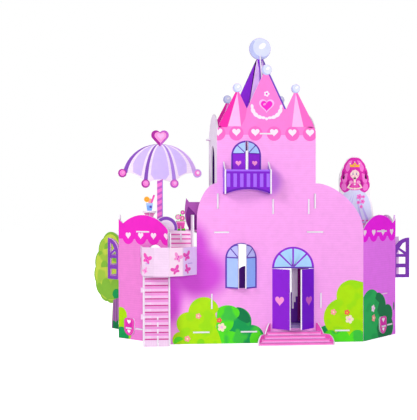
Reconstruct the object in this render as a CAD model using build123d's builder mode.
"""A play castle of cut and folded board that plugs together with tabs and slots.

Units are millimetres. X runs along the front wall, Y runs back into the castle and Z is up.
The origin is under the front face of the front wall, midway between its two folds.
"""

from build123d import *
import math
import os

os.makedirs("parts", exist_ok=True)

# Board and fits
BOARD = 3.0
CARD = 1.5
THIN_CARD = 1.0
FIT = 0.3
TAB_PROUD = 1.5

# Plan of the castle
FRONT_W = 398.0
CORNER_W = 140.0
CORNER_TURN = 45.0
SIDE_LENGTH = 118.0
TOWER_W = 201.0
TOWER_DEPTH = 179.0

# Levels
GROUND_Z = 22.0
TERRACE_Z = 222.0
TOWER_FLOOR_Z = 316.0
CEILING_Z = 420.0
LANDING_Z = 143.0

# Front wall outline
SHOULDER_Z = 228.0
TOWER_FOOT_Z = 322.0
CROWN_SIDE_Z = 427.0
PASSAGE_X = -141.0

# Crown cut on the front and back of the tower
SPIRE_X = 59.5
SPIRE_NECK_Z = 506.0
SPIRE_BALL_R = 9.2
GABLE_Z = 541.5
GABLE_BALL_R = 10.8
BALL_SEAT = 2.0
VALLEY_X = 40.0
VALLEY_Z = 471.5
NECK = 3.0
CROWN_STEP_W = 6.0
CROWN_STEP_H = 17.0
GABLE_NECK = 7.0

# Roof spire of two crossed cards
ROOF_BASE_W = 164.0
ROOF_NECK_W = 13.0
ROOF_NECK_Z = 588.6
ROOF_BALL_R = 22.9
ROOF_TAB_X = 46.0
ROOF_TAB_W = 20.0

# Openings in the front wall, each with two leaves cut and folded out
DOOR_X = 54.0
DOOR_W = 86.0
DOOR_SILL_Z = 29.0
DOOR_HEAD_Z = 150.0
DOOR_SWING = 43.0
WINDOW_X = -52.0
WINDOW_W = 60.0
WINDOW_SILL_Z = 111.0
WINDOW_SPRING_Z = 170.0
WINDOW_SWING = 42.0
TOWER_WINDOW_X = 59.0 - TOWER_W / 2
TOWER_WINDOW_W = 57.0
TOWER_WINDOW_SPRING_Z = 377.0
TOWER_WINDOW_SWING = 23.0

# Balcony
BALCONY_W = 94.0
BALCONY_DEPTH = 29.0
BALCONY_BOTTOM_Z = 300.0
BALCONY_RAIL_Z = 348.0
BALCONY_BACK_Z = 365.0
BALCONY_FLOOR_Z = 312.0
BALCONY_ARCH_H = 9.0
BALCONY_TAB_Z = 345.0
BALCONY_TAB_H = 24.0

# Corner leaves
CORNER_APEX_Z = 257.5
CORNER_APEX_T = 64.0
CORNER_NOTCH_T = 127.0
CORNER_NOTCH_Z = 240.0
CORNER_TOP_Z = 249.0
ARCH_T = 35.0
ARCH_W = 46.0
ARCH_TOP_Z = 198.0

# Side walls and their shutters
SIDE_WINDOW_W = 76.0
SIDE_WINDOW_Y = 56.0
SIDE_WINDOW_SILL_Z = 120.0
SIDE_WINDOW_TOP_Z = 208.0
SHUTTER_SWING = {"left": 40.0, "right": 88.0}
SIDE_SPIKE_W = 7.0

# The four small openings of a shutter, as shares of the leaf
PANE_W_SHARE = 0.56
PANE_H_SHARE = 0.29
PANE_ROWS = (0.3, 0.76)
FAN_LIGHTS = (
    ((0.22, 0.05), (0.68, 0.05), (0.34, 0.3)),
    ((0.42, 0.4), (0.8, 0.16), (0.8, 0.76), (0.6, 0.66)),
)

# Tab places along the walls: centre and width
GROUND_TABS = ((-132.0, 33.0), (-36.0, 33.0), (155.0, 30.0))
TERRACE_TABS = ((-91.0, 30.0), (99.0, 33.0))
CORNER_TAB = {"left": (69.0, 36.0), "right": (77.0, 40.0)}
CORNER_GROUND_TAB = {"left": (79.0, 20.0), "right": (112.0, 22.0)}
LOCK_T = {"left": 106.0, "right": 79.0}
LOCK_TAB_W = 16.0
SIDE_TAB = (60.0, 34.0)
TOWER_SIDE_TABS = (27.0, TOWER_DEPTH - 28.0)
TOWER_SIDE_TAB_W = 22.0
CEILING_TAB_W = 28.0
CEILING_TAB_REACH = 8.0
WALL_TAB_H = 30.0
INNER_WALL_TAB_Z = 85.0
TOWER_TAB_Z = 286.0
PARTITION_TAB_Z = 275.0

# Tower walls
TOWER_ARCH_Z = 433.0
TOWER_ARCH_TOP_Z = 469.0
TOWER_SIDE_OPENING_W = TOWER_DEPTH - 101.0
TOWER_SIDE_OPENING_TOP_Z = 403.0
TOWER_DOOR_Y = TOWER_DEPTH - 47.0
TOWER_DOOR_W = 52.0
TOWER_DOOR_TOP_Z = 296.0
TOWER_BACK_OPENING_W = 150.0
TOWER_BACK_OPENING_TOP_Z = 402.0

# Walls inside
INNER_WALL_X = 111.0
INNER_WALL_DEPTH = 165.0
INNER_WAY_W = 90.0
INNER_WAY_TOP_Z = 180.0
PARTITION_X = (13.0, TOWER_W / 2 - 14.5)
PARTITION_DEPTH = TOWER_DEPTH - 29.0
PARTITION_WAY_W = 62.0
PARTITION_WAY_TOP_Z = 300.0
HALL_SCREEN_Y = 108.0
HALL_SCREEN_LEFT = -46.0
HALL_SCREEN_Z = 148.0
HALL_POST_X = 72.0
TERRACE_SCREEN_Y = 96.0
TERRACE_SCREEN_LEFT = -157.0
TERRACE_SCREEN_Z = 285.0
HALL_SCREEN_TAB_X = 30.0
TERRACE_SCREEN_TAB_X = -126.0
SCREEN_TAB_W = 24.0

# Stairs
STEP_COUNT = 4
STEP_RISE = 6.0
STEP_RUN = 8.0
STEPS_TOP_RUN = 12.0
STEPS_BACK_W = 88.0
STEPS_FRONT_W = 150.0
CHEEK_H = 40.0
FLIGHT_LEFT = -245.0
FLIGHT_RIGHT = -198.0
LOWER_RISERS = 11
LOWER_RUN = 2.2
LOWER_TOP_Y = -4.0
LOWER_TAB_RISERS = (4, 8)
LOWER_TAB_REACH = 4.5
STRINGER_PROUD = 1.5
UPPER_RISERS = 9
UPPER_RUN = 6.0
UPPER_TOP_Y = 46.0
UPPER_LEFT = -192.0
UPPER_RIGHT = -150.0
RAIL_H = 56.0
RAIL_DROP = 4.0
RAIL_PLAN = (
    (-253.0, 60.0),
    (-250.0, -22.0),
    (-227.0, -45.0),
    (-199.0, -51.0),
    (-170.0, -36.0),
    (-139.0, 3.0),
)
LOWER_RIB_X = -219.5
LOWER_RIB_Z = 57.0
UPPER_RIB_X = -170.5
UPPER_RIB_Z = (203.5, 220.5)
BANISTER_Z = 258.0
BANISTER_FRONT_Y = -3.6

# Parasol on the terrace
PARASOL_X = -211.0
PARASOL_Y = 110.0
PARASOL_TOP_Z = 408.0
PARASOL_RIM_Z = 346.0
PARASOL_DIP_Z = 324.0
PARASOL_HALF = 79.5
PARASOL_INNER = 30.5
GORE_DEPTH = 8.0
RIB_BALL_R = 9.3
POLE_W = 12.5
HEART_W = 38.0
PARASOL_FOOT = (36.0, 16.0)

# Table, drink, lounger and planter on the terrace
TABLE_X = -234.0
TABLE_Y = 72.0
TABLE_W = 28.0
TABLE_H = 40.5
LEG_H = 12.0
DRINK_Y = 66.0
DRINK_W = 20.0
DRINK_H = 34.0
LOUNGER_X = -197.0
LOUNGER_Y = 76.0
LOUNGER_W = 40.0
LOUNGER_H = 31.0
LOUNGER_DEPTH = 28.0
PLANTER_X = -169.0
PLANTER_Y = 76.0
PLANTER_W = 20.0
PLANTER_H = 43.0

# Princess figure on the other terrace
FIGURE_X = 200.0
FIGURE_Y = 70.0
FIGURE_H = 157.0
FIGURE_HALF = 40.0
FIGURE_FOOT = (44.0, 18.0)

# Tree at the back left corner
TREE_TURN = -50.0
TREE_W = 97.0
TREE_H = 221.0
TREE_TRUNK_W = 34.0
TREE_FLAP_W = 30.0
TREE_FLAP_TOP_Z = 150.0

# Lock tags over the ground floor's long tabs
LOCK_W = 29.0
LOCK_H = 36.0
LOCK_CHAMFER = 4.0
LOCK_Z = 26.0

HALF_FRONT = FRONT_W / 2
HALF_TOWER = TOWER_W / 2
TOWER_MID_Y = TOWER_DEPTH / 2
TURN_COS = math.cos(math.radians(CORNER_TURN))
TURN_SIN = math.sin(math.radians(CORNER_TURN))
SIDE_X = HALF_FRONT + CORNER_W * TURN_COS
SIDE_Y = CORNER_W * TURN_SIN
BACK_Y = SIDE_Y + SIDE_LENGTH
TERRACE_TOP = TERRACE_Z + BOARD
GROUND_TOP = GROUND_Z + BOARD
LANDING_TOP = LANDING_Z + BOARD
CEILING_TOP = CEILING_Z + BOARD


def wall_plane(x, y, turn):
    """A standing plane through (x, y). Its normal is the wall's outward side, turned from the front."""
    a = math.radians(turn)
    along = (math.cos(a), math.sin(a), 0)
    outward = (math.sin(a), -math.cos(a), 0)
    return Plane(origin=(x, y, 0), x_dir=along, z_dir=outward)


FRONT = wall_plane(0, 0, 0)
CORNERS = {
    "left": (wall_plane(-HALF_FRONT, 0, -CORNER_TURN), -1),
    "right": (wall_plane(HALF_FRONT, 0, CORNER_TURN), 1),
}
SIDES = {
    "left": (wall_plane(-SIDE_X, SIDE_Y, -90), -1),
    "right": (wall_plane(SIDE_X, SIDE_Y, 90), 1),
}


def cut_slot(plane, x, z, width, height):
    """Cut a slot through a board, larger than its tab by the fit all round."""
    with BuildSketch(plane.offset(BOARD)) as slot:
        with Locations((x, z)):
            Rectangle(width + 2 * FIT, height + 2 * FIT)
    extrude(slot.sketch, amount=-3 * BOARD, mode=Mode.SUBTRACT)


def plan_tab(plane, x, width, inside, outside):
    """Add a tab to the sketch of a floor: it runs square to a wall from inside it to outside it."""
    low = x - width / 2
    high = x + width / 2
    ends = ((low, inside), (high, inside), (high, -outside), (low, -outside))
    points = [plane.from_local_coords((a, 0, -depth)) for a, depth in ends]
    with BuildLine() as edge:
        Polyline(*[(p.X, p.Y) for p in points], close=True)
    make_face(edge.edges())


def closed(points):
    """Add the face inside a closed run of straight lines to the sketch."""
    with BuildLine() as edge:
        Polyline(*points, close=True)
    make_face(edge.edges())


def arch(x, sill, spring, width):
    """Add an opening with a half-round head to the sketch."""
    half = width / 2
    with BuildLine() as edge:
        Polyline((x + half, spring), (x + half, sill), (x - half, sill), (x - half, spring))
        ThreePointArc((x - half, spring), (x, spring + half), (x + half, spring))
    make_face(edge.edges())


def heart(x, z, width):
    """Add a heart to the sketch: two round lobes centred at height z over a straight-sided point."""
    radius = width * 0.27
    lobe_x = width / 2 - radius
    drop = width * 0.66
    reach = math.hypot(lobe_x, drop)
    near = radius / reach
    far = math.sqrt(1 - near * near)
    side_x = lobe_x + radius * (far * drop - near * lobe_x) / reach
    side_z = -radius * (near * drop + far * lobe_x) / reach
    with Locations((x - lobe_x, z), (x + lobe_x, z)):
        Circle(radius)
    right = [(x + side_x, z + side_z), (x + lobe_x, z)]
    closed([(x, z - drop)] + right + [(x - lobe_x, z), (x - side_x, z + side_z)])


def crown():
    """Add the crown's three peaks and balls to the sketch, from its side level upwards."""
    points = [(HALF_TOWER, CROWN_SIDE_Z - BOARD), (HALF_TOWER, CROWN_SIDE_Z)]
    points += [(HALF_TOWER - CROWN_STEP_W, CROWN_SIDE_Z + CROWN_STEP_H)]
    points += [(SPIRE_X + NECK, SPIRE_NECK_Z), (SPIRE_X - NECK, SPIRE_NECK_Z)]
    points += [(VALLEY_X, VALLEY_Z), (GABLE_NECK, GABLE_Z)]
    closed(points + [(-x, z) for x, z in reversed(points)])
    with Locations((0, GABLE_Z + GABLE_BALL_R - BALL_SEAT)):
        Circle(GABLE_BALL_R)
    spire_ball_z = SPIRE_NECK_Z + SPIRE_BALL_R - BALL_SEAT
    with Locations((-SPIRE_X, spire_ball_z), (SPIRE_X, spire_ball_z)):
        Circle(SPIRE_BALL_R)


def finish(name, piece):
    """Label a finished piece and write it."""
    piece.part.label = name
    export_step(piece.part, f"parts/{name}.step")


def leaf_plane(base, base_turn, x, turn):
    """The outward plane of a leaf folded out about the upright through x in a wall."""
    skin = 0.6
    hinge = base.from_local_coords((x, 0, -skin))
    return wall_plane(hinge.X, hinge.Y, base_turn + turn).offset(skin)


def half_opening(sign, width, sill, spring, radius):
    """Add one leaf to the sketch: it runs from its fold at 0 to the opening's middle."""
    grip = -0.9 * sign
    reach = sign * width
    with BuildLine() as edge:
        if radius:
            shoulder = (sign * (radius - radius * TURN_COS), spring + radius * TURN_SIN)
            ThreePointArc((0, spring), shoulder, (reach, spring + radius))
            Polyline((reach, spring + radius), (reach, sill), (grip, sill), (grip, spring), (0, spring))
        else:
            Polyline((grip, sill), (reach, sill), (reach, spring), (grip, spring), close=True)
    make_face(edge.edges())


def shutter_lights(sign, width, sill, spring):
    """Add the four small openings of a shutter to the sketch: two panes and two fan lights."""
    pane_h = (spring - sill) * PANE_H_SHARE
    for row in PANE_ROWS:
        with Locations((sign * width / 2, sill + (spring - sill) * row)):
            Rectangle(width * PANE_W_SHARE, pane_h)
    for light in FAN_LIGHTS:
        closed([(sign * width * a, spring + width * b) for a, b in light])


def add_leaves(base, base_turn, x, width, sill, spring, swing, arched=True, lights=False):
    """Add both folded leaves of an opening to a wall."""
    leaf = width / 2 - FIT
    for sign in (-1, 1):
        plane = leaf_plane(base, base_turn, x + sign * width / 2, sign * swing)
        with BuildSketch(plane) as cut:
            half_opening(-sign, leaf, sill + FIT, spring - (0 if arched else FIT), leaf if arched else 0)
        extrude(cut.sketch, amount=-BOARD)
        if lights:
            with BuildSketch(plane.offset(BOARD)) as panes:
                shutter_lights(-sign, leaf, sill, spring)
            extrude(panes.sketch, amount=-3 * BOARD, mode=Mode.SUBTRACT)


def foot_outline(size, base, z_slot, from_below, card):
    """Add a low arched foot to the sketch, with the half slot where its twin crosses it."""
    width, height = size
    with BuildLine() as edge:
        Line((-width / 2, base), (width / 2, base))
        ThreePointArc((width / 2, base), (0, base + height), (-width / 2, base))
    make_face(edge.edges())
    middle = (base - card + z_slot) / 2 if from_below else (base + height + card + z_slot) / 2
    reach = 2 * abs(middle - z_slot)
    with Locations((0, middle)):
        Rectangle(card + 2 * FIT, reach, mode=Mode.SUBTRACT)


def bumpy(points, bulge):
    """Add a closed outline to the sketch whose sides are arcs that swell outwards."""
    with BuildLine() as edge:
        for (x0, z0), (x1, z1) in zip(points, points[1:] + points[:1]):
            middle = ((x0 + x1) / 2 + bulge * (z1 - z0), (z0 + z1) / 2 - bulge * (x1 - x0))
            ThreePointArc((x0, z0), middle, (x1, z1))
    make_face(edge.edges())


def stair_profile(start, bottom, run, rise, risers, card, last_run=0.0):
    """Add the side view of a folded strip of steps to the sketch."""
    outer = [(start, bottom)]
    for k in range(risers):
        top = bottom + rise * (k + 1)
        outer.append((start + run * k, top))
        if k < risers - 1:
            outer.append((start + run * (k + 1), top))
    if last_run:
        outer.append((outer[-1][0] + last_run, outer[-1][1]))
    inner = [(y + card, z - card) for y, z in outer]
    inner[0] = (start + card, bottom)
    inner[-1] = (outer[-1][0], outer[-1][1] - card) if last_run else (outer[-1][0] + card, outer[-1][1])
    closed(outer + inner[::-1])


def cut_walls_zone():
    """Cut away the plan behind the outer faces of the front wall and the left corner."""
    far = 2 * SIDE_X
    bend = -HALF_FRONT - FIT * math.tan(math.radians(CORNER_TURN / 2))
    corner_end = (bend - far * TURN_COS, far * TURN_SIN - FIT)
    with BuildLine() as edge:
        Polyline((far, -FIT), (bend, -FIT), corner_end, (far, 2 * far), close=True)
    make_face(edge.edges(), mode=Mode.SUBTRACT)


def inner_corner(x):
    """Where the clear line inside a corner leaf stands at this x."""
    clear = BOARD + FIT
    return (TURN_SIN * (x - HALF_FRONT) + clear) / TURN_COS


def floor_plan(back):
    """Add the plan of a floor that fills the castle inside its walls to the sketch."""
    clear = BOARD + FIT
    side = SIDE_X - clear
    bend = HALF_FRONT - clear * math.tan(math.radians(CORNER_TURN / 2))
    right = [(bend, clear), (side, inner_corner(side)), (side, back)]
    closed([(-x, y) for x, y in reversed(right)] + right)


def wall_tabs(front_tabs, corner_tab):
    """Add a floor's tabs through the front wall, the corner leaves and the side walls to the sketch."""
    clear = BOARD + FIT
    for x, width in front_tabs:
        plan_tab(FRONT, x, width, clear + BOARD, TAB_PROUD)
    for name, (corner, sign) in CORNERS.items():
        plan_tab(corner, sign * corner_tab[name][0], corner_tab[name][1], clear + BOARD, TAB_PROUD)
    for side, sign in SIDES.values():
        plan_tab(side, sign * SIDE_TAB[0], SIDE_TAB[1], clear + BOARD, TAB_PROUD)


def upright(x, front, back, bottom, top, tab_z, opening_w, opening_top):
    """Build a wall that stands square to the front wall, with a tab through it and an arched way."""
    with BuildPart() as wall:
        with BuildSketch(wall_plane(x + BOARD / 2, 0, 90)) as outline:
            closed([(front, bottom), (back, bottom), (back, top), (front, top)])
            with Locations(((front - TAB_PROUD) / 2, tab_z)):
                Rectangle(front + TAB_PROUD, WALL_TAB_H)
            middle = (front + back) / 2
            half = opening_w / 2
            spring = opening_top - half
            sill = bottom - BOARD
            with BuildLine() as way:
                Polyline(
                    (middle + half, spring), (middle + half, sill), (middle - half, sill), (middle - half, spring)
                )
                ThreePointArc((middle - half, spring), (middle, opening_top), (middle + half, spring))
            make_face(way.edges(), mode=Mode.SUBTRACT)
        extrude(outline.sketch, amount=-BOARD)
    return wall


# Front wall: one sheet with a corner leaf folded back at each end
with BuildPart() as front_wall:
    with BuildSketch(FRONT):
        with BuildLine():
            Polyline((-HALF_FRONT, 0), (HALF_FRONT, 0), (HALF_FRONT, SHOULDER_Z))
            Bezier(
                (HALF_FRONT, SHOULDER_Z),
                (HALF_FRONT, SHOULDER_Z + 40),
                (HALF_TOWER + 45, TOWER_FOOT_Z),
                (HALF_TOWER, TOWER_FOOT_Z),
            )
            Polyline(
                (HALF_TOWER, TOWER_FOOT_Z),
                (HALF_TOWER, CROWN_SIDE_Z),
                (-HALF_TOWER, CROWN_SIDE_Z),
                (-HALF_TOWER, TOWER_FOOT_Z),
            )
            Bezier(
                (-HALF_TOWER, TOWER_FOOT_Z),
                (-HALF_TOWER - 18, TOWER_FOOT_Z),
                (PASSAGE_X, TERRACE_TOP + 65),
                (PASSAGE_X, TERRACE_TOP + 20),
            )
            Polyline(
                (PASSAGE_X, TERRACE_TOP + 20),
                (PASSAGE_X, LANDING_Z - FIT),
                (-HALF_FRONT, LANDING_Z - FIT),
                (-HALF_FRONT, 0),
            )
        make_face()
        crown()
    extrude(amount=-BOARD)
    for corner, sign in CORNERS.values():
        with BuildSketch(corner):
            with BuildLine():
                Polyline(
                    (sign * CORNER_NOTCH_T, CORNER_NOTCH_Z),
                    (sign * CORNER_W, CORNER_TOP_Z),
                    (sign * CORNER_W, 0),
                    (0, 0),
                    (0, SHOULDER_Z),
                )
                ThreePointArc(
                    (0, SHOULDER_Z),
                    (sign * CORNER_APEX_T, CORNER_APEX_Z),
                    (sign * CORNER_NOTCH_T, CORNER_NOTCH_Z),
                )
            make_face()
        extrude(amount=-BOARD)
    with BuildSketch(CORNERS["left"][0].offset(BOARD)):
        arch(-ARCH_T, LANDING_TOP, ARCH_TOP_Z - ARCH_W / 2, ARCH_W)
    extrude(amount=-3 * BOARD, mode=Mode.SUBTRACT)
    balcony_sill = BALCONY_FLOOR_Z + BOARD + 2 * FIT + BOARD
    with BuildSketch(FRONT.offset(BOARD)):
        arch(WINDOW_X, WINDOW_SILL_Z, WINDOW_SPRING_Z, WINDOW_W)
        arch(TOWER_WINDOW_X, balcony_sill, TOWER_WINDOW_SPRING_Z, TOWER_WINDOW_W)
        with Locations((DOOR_X, (DOOR_SILL_Z + DOOR_HEAD_Z) / 2)):
            Rectangle(DOOR_W, DOOR_HEAD_Z - DOOR_SILL_Z)
    extrude(amount=-3 * BOARD, mode=Mode.SUBTRACT)
    add_leaves(FRONT, 0, DOOR_X, DOOR_W, DOOR_SILL_Z, DOOR_HEAD_Z, DOOR_SWING, arched=False)
    add_leaves(FRONT, 0, WINDOW_X, WINDOW_W, WINDOW_SILL_Z, WINDOW_SPRING_Z, WINDOW_SWING)
    add_leaves(
        FRONT, 0, TOWER_WINDOW_X, TOWER_WINDOW_W, balcony_sill, TOWER_WINDOW_SPRING_Z, TOWER_WINDOW_SWING
    )
    for x, width in GROUND_TABS:
        cut_slot(FRONT, x, GROUND_Z + BOARD / 2, width, BOARD)
    for x, width in TERRACE_TABS:
        cut_slot(FRONT, x, TERRACE_Z + BOARD / 2, width, BOARD)
    cut_slot(FRONT, 0, CEILING_Z + BOARD / 2, CEILING_TAB_W, BOARD)
    cut_slot(FRONT, TOWER_WINDOW_X, BALCONY_FLOOR_Z + BOARD / 2, BALCONY_W / 2, BOARD)
    for sign in (-1, 1):
        cut_slot(FRONT, sign * INNER_WALL_X, INNER_WALL_TAB_Z, BOARD, WALL_TAB_H)
        cut_slot(FRONT, sign * (HALF_TOWER - BOARD / 2), TOWER_TAB_Z, BOARD, WALL_TAB_H)
        side_x = TOWER_WINDOW_X + sign * (BALCONY_W - BOARD) / 2
        cut_slot(FRONT, side_x, BALCONY_TAB_Z, BOARD, BALCONY_TAB_H)
    for x in PARTITION_X:
        cut_slot(FRONT, x, PARTITION_TAB_Z, BOARD, WALL_TAB_H)
    for name, (corner, sign) in CORNERS.items():
        t, width = CORNER_TAB[name]
        cut_slot(corner, sign * t, TERRACE_Z + BOARD / 2, width, BOARD)
        t, width = CORNER_GROUND_TAB[name]
        cut_slot(corner, sign * t, GROUND_Z + BOARD / 2, width, BOARD)
        cut_slot(corner, sign * LOCK_T[name], GROUND_Z + BOARD / 2, LOCK_TAB_W, BOARD)
finish("front_wall", front_wall)

# Side walls, each with an arched window and two pierced shutters folded out
for name, (side, sign) in SIDES.items():
    with BuildPart() as side_wall:
        start = BOARD * TURN_COS + FIT
        with BuildSketch(side):
            with BuildLine():
                Polyline(
                    (sign * (start + SIDE_SPIKE_W), CORNER_NOTCH_Z),
                    (sign * start, CORNER_APEX_Z),
                    (sign * start, 0),
                    (sign * SIDE_LENGTH, 0),
                    (sign * SIDE_LENGTH, CORNER_APEX_Z),
                    (sign * (SIDE_LENGTH - SIDE_SPIKE_W), CORNER_NOTCH_Z),
                )
                ThreePointArc(
                    (sign * (SIDE_LENGTH - SIDE_SPIKE_W), CORNER_NOTCH_Z),
                    (sign * (start + SIDE_LENGTH) / 2, CORNER_APEX_Z),
                    (sign * (start + SIDE_SPIKE_W), CORNER_NOTCH_Z),
                )
            make_face()
        extrude(amount=-BOARD)
        spring = SIDE_WINDOW_TOP_Z - SIDE_WINDOW_W / 2
        with BuildSketch(side.offset(BOARD)):
            arch(sign * SIDE_WINDOW_Y, SIDE_WINDOW_SILL_Z, spring, SIDE_WINDOW_W)
        extrude(amount=-3 * BOARD, mode=Mode.SUBTRACT)
        add_leaves(
            side,
            sign * 90,
            sign * SIDE_WINDOW_Y,
            SIDE_WINDOW_W,
            SIDE_WINDOW_SILL_Z,
            spring,
            SHUTTER_SWING[name],
            lights=True,
        )
        for level in (GROUND_Z, TERRACE_Z):
            cut_slot(side, sign * SIDE_TAB[0], level + BOARD / 2, SIDE_TAB[1], BOARD)
    finish(f"side_wall_{name}", side_wall)

# Floors, each with tabs through the walls around it
with BuildPart() as ground_floor:
    with BuildSketch(Plane.XY.offset(GROUND_Z)):
        floor_plan(BACK_Y)
        wall_tabs(GROUND_TABS, CORNER_GROUND_TAB)
        for name, (corner, sign) in CORNERS.items():
            plan_tab(corner, sign * LOCK_T[name], LOCK_TAB_W, 2 * BOARD + FIT, FIT + BOARD + TAB_PROUD)
        with Locations((HALL_SCREEN_TAB_X, HALL_SCREEN_Y + BOARD / 2)):
            Rectangle(SCREEN_TAB_W + 2 * FIT, BOARD + 2 * FIT, mode=Mode.SUBTRACT)
    extrude(amount=BOARD)
finish("ground_floor", ground_floor)

with BuildPart() as terrace_floor:
    well_back = UPPER_TOP_Y + CARD + FIT
    with BuildSketch(Plane.XY.offset(TERRACE_Z)):
        floor_plan(BACK_Y)
        wall_tabs(TERRACE_TABS, CORNER_TAB)
        with Locations(((PASSAGE_X - HALF_FRONT) / 2, 0)):
            Rectangle(HALF_FRONT + PASSAGE_X, 2 * well_back, mode=Mode.SUBTRACT)
        with Locations((TERRACE_SCREEN_TAB_X, TERRACE_SCREEN_Y + BOARD / 2)):
            Rectangle(SCREEN_TAB_W + 2 * FIT, BOARD + 2 * FIT, mode=Mode.SUBTRACT)
    extrude(amount=BOARD)
finish("terrace_floor", terrace_floor)

# Walls of the ground floor
for name, sign in (("left", -1), ("right", 1)):
    inner_wall = upright(
        sign * INNER_WALL_X,
        BOARD + FIT,
        INNER_WALL_DEPTH,
        GROUND_TOP + FIT,
        TERRACE_Z - FIT,
        INNER_WALL_TAB_Z,
        INNER_WAY_W,
        INNER_WAY_TOP_Z,
    )
    finish(f"inner_wall_{name}", inner_wall)

# Screen in the hall behind the door, with a stepped balustrade
with BuildPart() as hall_screen:
    with BuildSketch(wall_plane(0, HALL_SCREEN_Y, 0)):
        base = GROUND_TOP + FIT
        right = INNER_WALL_X - BOARD / 2 - FIT
        with BuildLine():
            ThreePointArc(
                (HALL_SCREEN_LEFT, HALL_SCREEN_Z - 16),
                (HALL_SCREEN_LEFT + 5, HALL_SCREEN_Z - 5),
                (HALL_SCREEN_LEFT + 16, HALL_SCREEN_Z),
            )
            Polyline(
                (HALL_SCREEN_LEFT + 16, HALL_SCREEN_Z),
                (0, HALL_SCREEN_Z),
                (0, 50),
                (HALL_POST_X - 22, 50),
                (HALL_POST_X - 22, 63),
                (HALL_POST_X - 14, 63),
                (HALL_POST_X - 14, 77),
                (HALL_POST_X - 7, 77),
                (HALL_POST_X - 7, 91),
                (HALL_POST_X, 91),
                (HALL_POST_X, TERRACE_Z - FIT),
                (right, TERRACE_Z - FIT),
                (right, base),
                (HALL_SCREEN_LEFT, base),
                (HALL_SCREEN_LEFT, HALL_SCREEN_Z - 16),
            )
        make_face()
        with Locations((HALL_SCREEN_TAB_X, base)):
            Rectangle(SCREEN_TAB_W, 2 * (BOARD + FIT + TAB_PROUD))
    extrude(amount=-BOARD)
finish("hall_screen", hall_screen)

# Tower side walls with round heads, an arched opening on each floor and tabs front and back
for name, sign in (("left", -1), ("right", 1)):
    with BuildPart() as tower_wall:
        plane = wall_plane(sign * HALF_TOWER, 0, sign * 90)
        front = BOARD + FIT
        back = TOWER_DEPTH - BOARD - FIT
        with BuildSketch(plane):
            with BuildLine():
                Polyline(
                    (sign * front, TOWER_ARCH_Z),
                    (sign * front, TERRACE_TOP + FIT),
                    (sign * back, TERRACE_TOP + FIT),
                    (sign * back, TOWER_ARCH_Z),
                )
                ThreePointArc(
                    (sign * back, TOWER_ARCH_Z),
                    (sign * TOWER_MID_Y, TOWER_ARCH_TOP_Z),
                    (sign * front, TOWER_ARCH_Z),
                )
            make_face()
            with Locations((sign * TOWER_MID_Y, TOWER_TAB_Z)):
                Rectangle(TOWER_DEPTH + 2 * TAB_PROUD, WALL_TAB_H)
        extrude(amount=-BOARD)
        with BuildSketch(plane.offset(BOARD)):
            sill = TOWER_FLOOR_Z + 2 * BOARD
            spring = TOWER_SIDE_OPENING_TOP_Z - TOWER_SIDE_OPENING_W / 2
            arch(sign * TOWER_MID_Y, sill, spring, TOWER_SIDE_OPENING_W)
            arch(sign * TOWER_DOOR_Y, TERRACE_Z, TOWER_DOOR_TOP_Z - TOWER_DOOR_W / 2, TOWER_DOOR_W)
        extrude(amount=-3 * BOARD, mode=Mode.SUBTRACT)
        for y in TOWER_SIDE_TABS:
            cut_slot(plane, sign * y, TOWER_FLOOR_Z + BOARD / 2, TOWER_SIDE_TAB_W, BOARD)
        cut_slot(plane, sign * TOWER_SIDE_TABS[1], CEILING_Z + BOARD / 2, TOWER_SIDE_TAB_W, BOARD)
    finish(f"tower_wall_{name}", tower_wall)

# Tower back with the same crown and one tall opening to play through
with BuildPart() as tower_back:
    BACK = wall_plane(0, TOWER_DEPTH, 180)
    with BuildSketch(BACK):
        closed(
            [
                (-HALF_TOWER, TERRACE_TOP + FIT),
                (HALF_TOWER, TERRACE_TOP + FIT),
                (HALF_TOWER, CROWN_SIDE_Z),
                (-HALF_TOWER, CROWN_SIDE_Z),
            ]
        )
        crown()
    extrude(amount=-BOARD)
    with BuildSketch(BACK.offset(BOARD)):
        arch(0, TERRACE_Z, TOWER_BACK_OPENING_TOP_Z - TOWER_BACK_OPENING_W / 2, TOWER_BACK_OPENING_W)
    extrude(amount=-3 * BOARD, mode=Mode.SUBTRACT)
    cut_slot(BACK, 0, CEILING_Z + BOARD / 2, CEILING_TAB_W, BOARD)
    for sign in (-1, 1):
        cut_slot(BACK, sign * (HALF_TOWER - BOARD / 2), TOWER_TAB_Z, BOARD, WALL_TAB_H)
finish("tower_back", tower_back)

# Floor and ceiling of the tower room
tower_inner_w = TOWER_W - 2 * (BOARD + FIT)
tower_inner_d = TOWER_DEPTH - 2 * (BOARD + FIT)
with BuildPart() as tower_floor:
    with BuildSketch(Plane.XY.offset(TOWER_FLOOR_Z)):
        with Locations((0, TOWER_MID_Y)):
            Rectangle(tower_inner_w, tower_inner_d)
        for y in TOWER_SIDE_TABS:
            with Locations((0, y)):
                Rectangle(TOWER_W + 2 * TAB_PROUD, TOWER_SIDE_TAB_W)
    extrude(amount=BOARD)
finish("tower_floor", tower_floor)

with BuildPart() as tower_ceiling:
    with BuildSketch(Plane.XY.offset(CEILING_Z)):
        with Locations((0, TOWER_MID_Y)):
            Rectangle(tower_inner_w, tower_inner_d)
            Rectangle(CEILING_TAB_W, TOWER_DEPTH + 2 * TAB_PROUD)
        with Locations((0, TOWER_SIDE_TABS[1])):
            Rectangle(TOWER_W + 2 * CEILING_TAB_REACH, TOWER_SIDE_TAB_W)
        with Locations((-ROOF_TAB_X, TOWER_MID_Y), (ROOF_TAB_X, TOWER_MID_Y)):
            Rectangle(ROOF_TAB_W + 2 * FIT, BOARD + 2 * FIT, mode=Mode.SUBTRACT)
        with Locations((0, TOWER_MID_Y - ROOF_TAB_X), (0, TOWER_MID_Y + ROOF_TAB_X)):
            Rectangle(BOARD + 2 * FIT, ROOF_TAB_W + 2 * FIT, mode=Mode.SUBTRACT)
    extrude(amount=BOARD)
finish("tower_ceiling", tower_ceiling)

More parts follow.
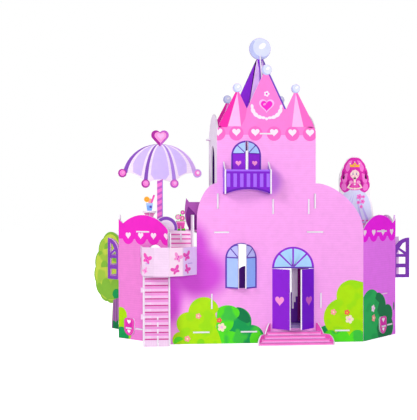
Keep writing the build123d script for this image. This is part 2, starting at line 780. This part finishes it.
# Roof spire: two tall cards that cross in each other's slots; the front one carries the ball
roof_slot_z = (CEILING_TOP + ROOF_NECK_Z) / 2
roof_ball_z = ROOF_NECK_Z + ROOF_BALL_R - BALL_SEAT
for name in ("front", "side"):
    with BuildPart() as roof_card:
        if name == "front":
            plane = wall_plane(0, TOWER_MID_Y - BOARD / 2, 0)
        else:
            plane = wall_plane(-BOARD / 2, TOWER_MID_Y, -90)
        with BuildSketch(plane):
            base = CEILING_TOP + FIT
            half = ROOF_BASE_W / 2
            neck = ROOF_NECK_W / 2
            closed([(-half, base), (half, base), (neck, ROOF_NECK_Z), (-neck, ROOF_NECK_Z)])
            with Locations((-ROOF_TAB_X, base), (ROOF_TAB_X, base)):
                Rectangle(ROOF_TAB_W, 2 * (BOARD + FIT + TAB_PROUD))
            if name == "front":
                with Locations((0, roof_ball_z)):
                    Circle(ROOF_BALL_R)
                with Locations((0, (base + roof_slot_z) / 2 - BOARD)):
                    Rectangle(BOARD + 2 * FIT, roof_slot_z - base + 2 * BOARD, mode=Mode.SUBTRACT)
            else:
                with Locations((0, ROOF_NECK_Z)):
                    Circle(neck)
                slot_top = ROOF_NECK_Z + 2 * neck
                with Locations((0, (roof_slot_z + slot_top) / 2)):
                    Rectangle(BOARD + 2 * FIT, slot_top - roof_slot_z, mode=Mode.SUBTRACT)
        extrude(amount=-BOARD)
    finish(f"roof_card_{name}", roof_card)

# Partitions under the tower floor
for name, x in zip(("left", "right"), PARTITION_X):
    partition = upright(
        x,
        BOARD + FIT,
        PARTITION_DEPTH,
        TERRACE_TOP + FIT,
        TOWER_FLOOR_Z - FIT,
        PARTITION_TAB_Z,
        PARTITION_WAY_W,
        PARTITION_WAY_TOP_Z,
    )
    finish(f"partition_{name}", partition)

# Balcony: floor, front and two sides with tabs through the front wall
with BuildPart() as balcony_floor:
    with BuildSketch(Plane.XY.offset(BALCONY_FLOOR_Z)):
        inner = BALCONY_W - 2 * (BOARD + FIT)
        depth = BALCONY_DEPTH - BOARD - 2 * FIT
        with Locations((TOWER_WINDOW_X, -FIT - depth / 2)):
            Rectangle(inner, depth)
        with Locations((TOWER_WINDOW_X, (BOARD + TAB_PROUD - depth) / 2)):
            Rectangle(BALCONY_W / 2, BOARD + TAB_PROUD + depth)
    extrude(amount=BOARD)
finish("balcony_floor", balcony_floor)

with BuildPart() as balcony_front:
    with BuildSketch(wall_plane(TOWER_WINDOW_X, -BALCONY_DEPTH, 0)):
        half = BALCONY_W / 2 - BOARD - FIT
        with BuildLine():
            Polyline(
                (half, BALCONY_BOTTOM_Z),
                (half, BALCONY_RAIL_Z),
                (-half, BALCONY_RAIL_Z),
                (-half, BALCONY_BOTTOM_Z),
            )
            ThreePointArc(
                (-half, BALCONY_BOTTOM_Z), (0, BALCONY_BOTTOM_Z + BALCONY_ARCH_H), (half, BALCONY_BOTTOM_Z)
            )
        make_face()
    extrude(amount=-BOARD)
finish("balcony_front", balcony_front)

for name, sign in (("left", -1), ("right", 1)):
    with BuildPart() as balcony_side:
        outer = TOWER_WINDOW_X + sign * BALCONY_W / 2
        with BuildSketch(wall_plane(outer, 0, sign * 90)):
            front = -sign * (BALCONY_DEPTH + TAB_PROUD)
            with BuildLine():
                Polyline(
                    (-sign * FIT, BALCONY_BACK_Z),
                    (-sign * FIT, BALCONY_BOTTOM_Z),
                    (front, BALCONY_BOTTOM_Z),
                    (front, BALCONY_RAIL_Z),
                )
                Bezier(
                    (front, BALCONY_RAIL_Z),
                    (front * 0.7, BALCONY_RAIL_Z),
                    (front * 0.35, BALCONY_RAIL_Z + 6),
                    (-sign * FIT, BALCONY_BACK_Z),
                )
            make_face()
            with Locations((sign * (BOARD + TAB_PROUD) / 2 - sign * BOARD / 2, BALCONY_TAB_Z)):
                Rectangle(2 * BOARD + TAB_PROUD, BALCONY_TAB_H)
        extrude(amount=-BOARD)
    finish(f"balcony_side_{name}", balcony_side)

# Front steps: one folded strip that widens towards the front, between two cut cheeks
steps_front_y = -(STEPS_TOP_RUN + STEP_RUN * (STEP_COUNT - 1))
with BuildPart() as front_steps:
    with BuildSketch(wall_plane(DOOR_X + STEPS_FRONT_W / 2, 0, 90)):
        stair_profile(steps_front_y, 0, STEP_RUN, STEP_RISE, STEP_COUNT, CARD, STEPS_TOP_RUN - FIT)
    extrude(amount=-STEPS_FRONT_W)
    with BuildSketch(Plane.XY):
        closed(
            [
                (DOOR_X - STEPS_FRONT_W / 2, steps_front_y),
                (DOOR_X + STEPS_FRONT_W / 2, steps_front_y),
                (DOOR_X + STEPS_BACK_W / 2, 0),
                (DOOR_X - STEPS_BACK_W / 2, 0),
            ]
        )
    extrude(amount=CHEEK_H, mode=Mode.INTERSECT)
finish("front_steps", front_steps)

for name, sign in (("left", -1), ("right", 1)):
    splay = (STEPS_FRONT_W - STEPS_BACK_W) / 2
    length = math.hypot(splay, steps_front_y)
    out = Vector(sign * splay / length, steps_front_y / length, 0)
    start = (FIT + abs(out.X) * (FIT + BOARD)) / abs(out.Y)
    with BuildPart() as cheek:
        plane = Plane(origin=(DOOR_X + sign * STEPS_BACK_W / 2, 0, 0), x_dir=out, z_dir=(out.Y, -out.X, 0))
        with BuildSketch(plane.offset(-sign * FIT)):
            low_z = CHEEK_H / 2
            toe = (length - low_z * 0.6, low_z)
            heel = (length * 0.45, low_z)
            head = (length * 0.16, CHEEK_H)
            with BuildLine():
                Line((start, 0), (length, 0))
                ThreePointArc((length, 0), (length - low_z * 0.18, low_z * 0.65), toe)
                Line(toe, heel)
                ThreePointArc(heel, (length * 0.33, CHEEK_H * 0.74), head)
                Polyline(head, (start, CHEEK_H), (start, 0))
            make_face()
        extrude(amount=-sign * BOARD)
    finish(f"step_cheek_{name}", cheek)

# Lower stairs: a steep folded strip between two stringers, on a rib that shows through its slot
lower_rise = (LANDING_Z - FIT) / LOWER_RISERS
lower_start = LOWER_TOP_Y - LOWER_RUN * (LOWER_RISERS - 1)
flight_w = FLIGHT_RIGHT - FLIGHT_LEFT
with BuildPart() as lower_stairs:
    with BuildSketch(wall_plane(FLIGHT_RIGHT, 0, 90)):
        stair_profile(lower_start, 0, LOWER_RUN, lower_rise, LOWER_RISERS, THIN_CARD)
    extrude(amount=-flight_w)
    for k in LOWER_TAB_RISERS:
        with BuildSketch(Plane.XY.offset(lower_rise * k + THIN_CARD)):
            reach = BOARD + FIT + LOWER_TAB_REACH
            tab_y = lower_start + LOWER_RUN * k + THIN_CARD / 2
            with Locations((FLIGHT_LEFT - reach / 2 + CARD / 2, tab_y)):
                Rectangle(reach + CARD, THIN_CARD)
        extrude(amount=lower_rise - 3 * THIN_CARD)
    with BuildSketch(Plane.XY):
        with Locations((LOWER_RIB_X, 0)):
            Rectangle(BOARD + 2 * FIT, 2 * BACK_Y)
    extrude(amount=LOWER_RIB_Z + FIT, mode=Mode.SUBTRACT)
finish("lower_stairs", lower_stairs)

lower_lean = LOWER_RUN / lower_rise
for name, sign, inner in (("left", -1, FLIGHT_LEFT), ("right", 1, FLIGHT_RIGHT)):
    with BuildPart() as stringer:
        if name == "left":
            back = -HALF_FRONT - inner - 2 * FIT
        else:
            back = -FIT
        outer = inner + sign * (FIT + BOARD)
        with BuildSketch(wall_plane(max(inner + sign * FIT, outer), 0, 90)):
            foot = lower_start - STRINGER_PROUD
            closed(
                [
                    (foot, 0),
                    (back, 0),
                    (back, LANDING_Z - FIT),
                    (foot + lower_lean * (LANDING_Z - FIT), LANDING_Z - FIT),
                ]
            )
        extrude(amount=-BOARD)
        if name == "left":
            for k in LOWER_TAB_RISERS:
                with BuildSketch(Plane.XY.offset(lower_rise * k + THIN_CARD - FIT)):
                    with Locations((inner, lower_start + LOWER_RUN * k + THIN_CARD / 2)):
                        Rectangle(4 * BOARD, THIN_CARD + 2 * FIT)
                extrude(amount=lower_rise - 3 * THIN_CARD + 2 * FIT, mode=Mode.SUBTRACT)
    finish(f"lower_stringer_{name}", stringer)

with BuildPart() as lower_rib:
    with BuildSketch(wall_plane(LOWER_RIB_X + BOARD / 2, 0, 90)):
        foot = lower_start - STRINGER_PROUD
        back = -HALF_FRONT - LOWER_RIB_X - BOARD / 2 - 2 * FIT
        closed([(foot, 0), (back, 0), (back, LOWER_RIB_Z), (foot + lower_lean * LOWER_RIB_Z, LOWER_RIB_Z)])
    extrude(amount=-BOARD)
finish("lower_rib", lower_rib)

# Landing between the two flights: its floor and the folded rail around it
with BuildPart() as landing_floor:
    with BuildSketch(Plane.XY.offset(LANDING_Z)):
        closed(list(RAIL_PLAN) + [(RAIL_PLAN[-1][0], RAIL_PLAN[0][1])])
        offset(amount=-(CARD + FIT), mode=Mode.REPLACE)
        cut_walls_zone()
        left = -HALF_FRONT + BOARD
        right = PASSAGE_X - FIT
        with Locations(((left + right) / 2, (UPPER_TOP_Y - FIT) / 2)):
            Rectangle(right - left, UPPER_TOP_Y + FIT)
    extrude(amount=BOARD)
finish("landing_floor", landing_floor)

with BuildPart() as landing_rail:
    with BuildSketch(Plane.XY.offset(LANDING_Z - RAIL_DROP)):
        closed(list(RAIL_PLAN) + [(RAIL_PLAN[-1][0], RAIL_PLAN[0][1])])
        with BuildSketch(mode=Mode.PRIVATE) as inside:
            closed(list(RAIL_PLAN) + [(RAIL_PLAN[-1][0], RAIL_PLAN[0][1])])
            offset(amount=-CARD, mode=Mode.REPLACE)
        add(inside.sketch, mode=Mode.SUBTRACT)
        cut_walls_zone()
    extrude(amount=RAIL_H)
finish("landing_rail", landing_rail)

# Upper stairs: a folded strip between two stringers, on a rib that shows through its top steps
upper_bottom = LANDING_TOP + FIT
upper_rise = (TERRACE_TOP - upper_bottom) / UPPER_RISERS
upper_start = UPPER_TOP_Y - UPPER_RUN * (UPPER_RISERS - 1)
with BuildPart() as upper_stairs:
    with BuildSketch(wall_plane(UPPER_RIGHT, 0, 90)):
        stair_profile(upper_start, upper_bottom, UPPER_RUN, upper_rise, UPPER_RISERS, CARD)
    extrude(amount=UPPER_LEFT - UPPER_RIGHT)
    with BuildSketch(Plane.XY.offset(UPPER_RIB_Z[0] - FIT)):
        with Locations((UPPER_RIB_X, 0)):
            Rectangle(BOARD + 2 * FIT, 2 * BACK_Y)
    extrude(amount=UPPER_RIB_Z[1] - UPPER_RIB_Z[0] + 2 * FIT, mode=Mode.SUBTRACT)
finish("upper_stairs", upper_stairs)

with BuildPart() as upper_rib:
    with BuildSketch(wall_plane(UPPER_RIB_X + BOARD / 2, 0, 90)):
        lean = UPPER_RUN / upper_rise
        back = UPPER_TOP_Y - FIT
        low, high = UPPER_RIB_Z
        under = upper_start + CARD + 2 * lean
        nose = upper_start - lean * upper_rise - TAB_PROUD
        closed(
            [
                (under + 2 * CARD, upper_bottom),
                (back, upper_bottom),
                (back, high),
                (nose + lean * (high - upper_bottom), high),
                (nose + lean * (low - upper_bottom), low),
                (under + 2 * CARD + lean * (low - upper_bottom), low),
            ]
        )
    extrude(amount=-BOARD)
finish("upper_rib", upper_rib)

for name, edge_x, front, top in (
    ("left", UPPER_LEFT - FIT, upper_start, TERRACE_Z - FIT),
    ("right", UPPER_RIGHT + FIT + BOARD, BANISTER_FRONT_Y, BANISTER_Z),
):
    with BuildPart() as stringer:
        with BuildSketch(wall_plane(edge_x, 0, 90)):
            back = UPPER_TOP_Y
            closed([(front, upper_bottom), (back, upper_bottom), (back, top), (front, top)])
        extrude(amount=-BOARD)
    finish(f"upper_stringer_{name}", stringer)

# Screen on the terrace beside the tower
with BuildPart() as terrace_screen:
    with BuildSketch(wall_plane(0, TERRACE_SCREEN_Y, 0)):
        base = TERRACE_TOP + FIT
        right = -HALF_TOWER - FIT
        left = TERRACE_SCREEN_LEFT
        with BuildLine():
            foot = (left + 6, base + 5)
            spike = (left + 1, TERRACE_SCREEN_Z + 8)
            Polyline(
                (left + 7, TERRACE_SCREEN_Z), (right, TERRACE_SCREEN_Z), (right, base), (foot[0], base), foot
            )
            Spline(foot, (left, base + 20), (left - 2, base + 45), spike)
            Line(spike, (left + 7, TERRACE_SCREEN_Z))
        make_face()
        with Locations((TERRACE_SCREEN_TAB_X, base)):
            Rectangle(SCREEN_TAB_W, 2 * (BOARD + FIT + TAB_PROUD))
    extrude(amount=-BOARD)
finish("terrace_screen", terrace_screen)

# Parasol: one flat card with rib ends and a heart on top, on a crossed foot
with BuildPart() as parasol:
    with BuildSketch(wall_plane(PARASOL_X, PARASOL_Y, 0)):
        top = (0, PARASOL_TOP_Z)
        shoulder_z = PARASOL_RIM_Z + (PARASOL_TOP_Z - PARASOL_RIM_Z) * 0.76
        gore_x = (PARASOL_HALF + PARASOL_INNER) / 2 - GORE_DEPTH / 2
        gore_z = (PARASOL_RIM_Z + PARASOL_DIP_Z) / 2 + GORE_DEPTH
        ends = []
        with BuildLine():
            for sign in (-1, 1):
                rim = (sign * PARASOL_HALF, PARASOL_RIM_Z)
                dip = (sign * PARASOL_INNER, PARASOL_DIP_Z)
                ThreePointArc(top, (sign * PARASOL_HALF * 0.62, shoulder_z), rim)
                ThreePointArc(rim, (sign * gore_x, gore_z), dip)
                ends.append(dip)
            ThreePointArc(ends[0], (0, PARASOL_DIP_Z + GORE_DEPTH), ends[1])
        make_face()
        for sign in (-1, 1):
            with Locations((sign * PARASOL_HALF, PARASOL_RIM_Z), (sign * PARASOL_INNER, PARASOL_DIP_Z)):
                Circle(RIB_BALL_R)
        heart(0, PARASOL_TOP_Z + HEART_W * 0.5, HEART_W)
        foot_w, foot_h = PARASOL_FOOT
        with Locations((0, (TERRACE_TOP + foot_h / 2 + PARASOL_DIP_Z + foot_h) / 2)):
            Rectangle(POLE_W, PARASOL_DIP_Z + foot_h / 2 - TERRACE_TOP)
        foot_outline(PARASOL_FOOT, TERRACE_TOP, TERRACE_TOP + foot_h / 2, True, BOARD)
    extrude(amount=-BOARD)
finish("parasol", parasol)

with BuildPart() as parasol_foot:
    with BuildSketch(wall_plane(PARASOL_X + BOARD / 2, PARASOL_Y + BOARD / 2, 90)):
        foot_outline(PARASOL_FOOT, TERRACE_TOP, TERRACE_TOP + foot_h / 2 - FIT, False, BOARD)
    extrude(amount=-BOARD)
finish("parasol_foot", parasol_foot)

# Table: a round top on two crossed legs, and a card drink that stands in the top
table_top_z = TERRACE_TOP + TABLE_H
leg_top = table_top_z - BOARD - FIT
with BuildPart() as table_top:
    with BuildSketch(Plane.XY.offset(table_top_z - BOARD)):
        with Locations((TABLE_X, TABLE_Y)):
            Circle(TABLE_W / 2)
            Rectangle(LEG_H + 2 * FIT, CARD + 2 * FIT, mode=Mode.SUBTRACT)
        with Locations((TABLE_X, DRINK_Y)):
            Rectangle(DRINK_W / 2 + 2 * FIT, CARD + 2 * FIT, mode=Mode.SUBTRACT)
    extrude(amount=BOARD)
finish("table_top", table_top)

leg_waist = (TERRACE_TOP + leg_top) / 2
for name, turn in (("front", 0), ("side", 90)):
    with BuildPart() as table_legs:
        shift = math.sin(math.radians(turn)) * CARD / 2
        with BuildSketch(wall_plane(TABLE_X + shift, TABLE_Y - CARD / 2 + shift, turn)):
            with BuildLine():
                Polyline((-LEG_H, TERRACE_TOP), (LEG_H, TERRACE_TOP))
                ThreePointArc((LEG_H, TERRACE_TOP), (LEG_H / 2, leg_waist), (LEG_H, leg_top))
                Line((LEG_H, leg_top), (-LEG_H, leg_top))
                ThreePointArc((-LEG_H, leg_top), (-LEG_H / 2, leg_waist), (-LEG_H, TERRACE_TOP))
            make_face()
            if name == "front":
                with Locations((0, leg_top)):
                    Rectangle(LEG_H, 2 * (BOARD + FIT))
                with Locations((0, (TERRACE_TOP + leg_waist) / 2 - BOARD / 2)):
                    Rectangle(CARD + 2 * FIT, leg_waist - TERRACE_TOP + BOARD, mode=Mode.SUBTRACT)
            else:
                with Locations((0, (leg_top + leg_waist) / 2 + BOARD / 2 - FIT)):
                    Rectangle(CARD + 2 * FIT, leg_top - leg_waist + BOARD, mode=Mode.SUBTRACT)
        extrude(amount=-CARD)
    finish(f"table_legs_{name}", table_legs)

with BuildPart() as drink:
    with BuildSketch(wall_plane(TABLE_X, DRINK_Y - CARD / 2, 0)):
        cup_h = DRINK_H * 0.5
        closed(
            [
                (-DRINK_W * 0.24, table_top_z),
                (DRINK_W * 0.24, table_top_z),
                (DRINK_W * 0.38, table_top_z + cup_h),
                (-DRINK_W * 0.38, table_top_z + cup_h),
            ]
        )
        with Locations((0, table_top_z - BOARD / 2)):
            Rectangle(DRINK_W / 2, BOARD)
        with Locations((0, table_top_z + 1)):
            Rectangle(DRINK_W / 2, 2)
        with Locations((-DRINK_W * 0.28, table_top_z + DRINK_H * 0.72)):
            Circle(DRINK_W * 0.3)
        with Locations((DRINK_W * 0.08, table_top_z + DRINK_H * 0.62)):
            Circle(DRINK_W * 0.26)
        closed(
            [
                (DRINK_W * 0.1, table_top_z + cup_h),
                (DRINK_W * 0.3, table_top_z + cup_h),
                (DRINK_W * 0.6, table_top_z + DRINK_H),
                (DRINK_W * 0.36, table_top_z + DRINK_H),
            ]
        )
    extrude(amount=-CARD)
finish("drink", drink)

# Lounger: two rounded sides and a bent seat that plugs into them
for name, sign in (("front", -1), ("back", 1)):
    with BuildPart() as lounger_side:
        y = LOUNGER_Y + sign * LOUNGER_DEPTH / 2 - CARD / 2
        with BuildSketch(wall_plane(LOUNGER_X, y, 0)):
            half = LOUNGER_W / 2
            top = TERRACE_TOP + LOUNGER_H
            with BuildLine():
                Line((-half, TERRACE_TOP), (half, TERRACE_TOP))
                ThreePointArc((half, TERRACE_TOP), (half * 0.15, top - 2), (-half, top - LOUNGER_H * 0.25))
                Line((-half, top - LOUNGER_H * 0.25), (-half, TERRACE_TOP))
            make_face()
            with Locations((-half * 0.2, TERRACE_TOP)):
                Circle(half * 0.3, mode=Mode.SUBTRACT)
            with Locations((-half * 0.25, TERRACE_TOP + LOUNGER_H * 0.5)):
                Rectangle(half * 0.8 + 2 * FIT, THIN_CARD + 2 * FIT, mode=Mode.SUBTRACT)
        extrude(amount=-CARD)
    finish(f"lounger_side_{name}", lounger_side)

with BuildPart() as lounger_seat:
    half = LOUNGER_W / 2
    seat_z = TERRACE_TOP + LOUNGER_H * 0.5 - THIN_CARD / 2
    with BuildSketch(Plane.XY.offset(seat_z)):
        with Locations((LOUNGER_X - half * 0.25, LOUNGER_Y)):
            Rectangle(half * 0.8, LOUNGER_DEPTH + CARD + 2 * THIN_CARD)
    extrude(amount=THIN_CARD)
    with BuildSketch(wall_plane(LOUNGER_X, LOUNGER_Y - (LOUNGER_DEPTH - CARD) / 2 + FIT, 0)):
        middle = seat_z + THIN_CARD / 2
        with BuildLine():
            Spline(
                (half * 0.85, TERRACE_TOP + 1),
                (half * 0.5, middle - 3),
                (half * 0.1, middle),
                (-half * 0.6, middle),
                (-half * 0.85, middle + 2),
            )
        trace(line_width=THIN_CARD)
    extrude(amount=-(LOUNGER_DEPTH - CARD - 2 * FIT))
finish("lounger_seat", lounger_seat)

# Planter: a card pot of flowers on a crossed foot
with BuildPart() as planter:
    planter_foot = (PLANTER_W, PLANTER_W * 0.5)
    with BuildSketch(wall_plane(PLANTER_X, PLANTER_Y, 0)):
        half = PLANTER_W / 2
        with Locations((0, TERRACE_TOP + PLANTER_H * 0.28)):
            Trapezoid(PLANTER_W, PLANTER_H * 0.4, 100)
        with Locations((0, TERRACE_TOP + PLANTER_H * 0.5)):
            Rectangle(CARD * 1.6, PLANTER_H * 0.6)
        for x, z, r in ((0.42, 0.88, 0.24), (-0.55, 0.66, 0.3), (0.35, 0.6, 0.28)):
            with Locations((half * x, TERRACE_TOP + PLANTER_H * z)):
                Circle(PLANTER_W * r)
        foot_outline(planter_foot, TERRACE_TOP, TERRACE_TOP + planter_foot[1] / 2, True, CARD)
    extrude(amount=-CARD)
finish("planter", planter)

with BuildPart() as planter_foot_card:
    with BuildSketch(wall_plane(PLANTER_X + CARD / 2, PLANTER_Y + CARD / 2, 90)):
        foot_outline(planter_foot, TERRACE_TOP, TERRACE_TOP + planter_foot[1] / 2 - FIT, False, CARD)
    extrude(amount=-CARD)
finish("planter_foot", planter_foot_card)

# Princess figure: one flat card on a crossed foot
with BuildPart() as figure:
    with BuildSketch(wall_plane(FIGURE_X, FIGURE_Y, 0)):
        side = [
            (0.62, 0.0),
            (0.98, 0.14),
            (0.94, 0.34),
            (0.82, 0.52),
            (0.84, 0.64),
            (0.74, 0.8),
            (0.56, 0.88),
            (0.4, 0.98),
        ]
        right = [(FIGURE_HALF * a, TERRACE_TOP + FIGURE_H * b) for a, b in side]
        crest = (0, TERRACE_TOP + FIGURE_H)
        left = [(-x, z) for x, z in reversed(right)]
        with BuildLine():
            Spline(*right[:-1], (FIGURE_HALF * 0.42, TERRACE_TOP + FIGURE_H * 0.95), crest)
            Spline(crest, (-FIGURE_HALF * 0.42, TERRACE_TOP + FIGURE_H * 0.95), *left[1:])
            Line(left[-1], right[0])
        make_face()
        foot_outline(FIGURE_FOOT, TERRACE_TOP, TERRACE_TOP + FIGURE_FOOT[1] / 2, True, BOARD)
    extrude(amount=-BOARD)
finish("princess_figure", figure)

with BuildPart() as figure_foot:
    with BuildSketch(wall_plane(FIGURE_X + BOARD / 2, FIGURE_Y + BOARD / 2, 90)):
        foot_outline(FIGURE_FOOT, TERRACE_TOP, TERRACE_TOP + FIGURE_FOOT[1] / 2 - FIT, False, BOARD)
    extrude(amount=-BOARD)
finish("figure_foot", figure_foot)

# Tree: one folded sheet whose flap lies inside the left side wall and whose leaf stands out behind it
with BuildPart() as tree:
    flap_x = -(SIDE_X - BOARD - FIT)
    fold_y = BACK_Y + FIT
    with BuildSketch(wall_plane(flap_x, fold_y, -90)):
        closed(
            [
                (-BOARD, GROUND_TOP + FIT),
                (TREE_FLAP_W, GROUND_TOP + FIT),
                (TREE_FLAP_W, TREE_FLAP_TOP_Z - TREE_FLAP_W / 3),
                (TREE_FLAP_W * 2 / 3, TREE_FLAP_TOP_Z),
                (-BOARD, TREE_FLAP_TOP_Z),
            ]
        )
    extrude(amount=-BOARD)
    with BuildSketch(wall_plane(flap_x, fold_y, TREE_TURN)):
        closed([(0, 0), (0, TREE_H * 0.4), (-TREE_TRUNK_W * 0.8, TREE_H * 0.4), (-TREE_TRUNK_W, 0)])
        crown_points = [
            (0, 0.34),
            (0, 0.86),
            (-0.3, 0.985),
            (-0.66, 0.92),
            (-0.84, 0.78),
            (-0.96, 0.62),
            (-0.95, 0.46),
            (-0.78, 0.33),
            (-0.5, 0.27),
            (-0.22, 0.28),
        ]
        bumpy([(x * TREE_W, z * TREE_H) for x, z in crown_points], 0.16)
        with Locations((TREE_W, TREE_H / 2)):
            Rectangle(2 * TREE_W, 2 * TREE_H, mode=Mode.SUBTRACT)
    extrude(amount=-BOARD)
finish("tree", tree)

# Lock tags: small shields that slip over the ground floor's long tabs outside the corners
for name, (corner, sign) in CORNERS.items():
    with BuildPart() as lock_tag:
        with BuildSketch(corner.offset(FIT + BOARD)):
            x = sign * LOCK_T[name]
            top = LOCK_Z + LOCK_H / 2
            half = LOCK_W / 2
            hip_z = LOCK_Z - LOCK_H * 0.1
            tip = (x, LOCK_Z - LOCK_H / 2)
            with BuildLine():
                for s in (-1, 1):
                    shoulder = (x + s * (half - LOCK_CHAMFER), top)
                    hip = (x + s * half, hip_z)
                    Polyline((x, top), shoulder, (x + s * half, top - LOCK_CHAMFER), hip)
                    ThreePointArc(hip, (x + s * half * 0.7, LOCK_Z - LOCK_H * 0.36), tip)
            make_face()
            with Locations((x, GROUND_Z + BOARD / 2)):
                Rectangle(LOCK_TAB_W + 2 * FIT, BOARD + 2 * FIT, mode=Mode.SUBTRACT)
        extrude(amount=-BOARD)
    finish(f"lock_tag_{name}", lock_tag)
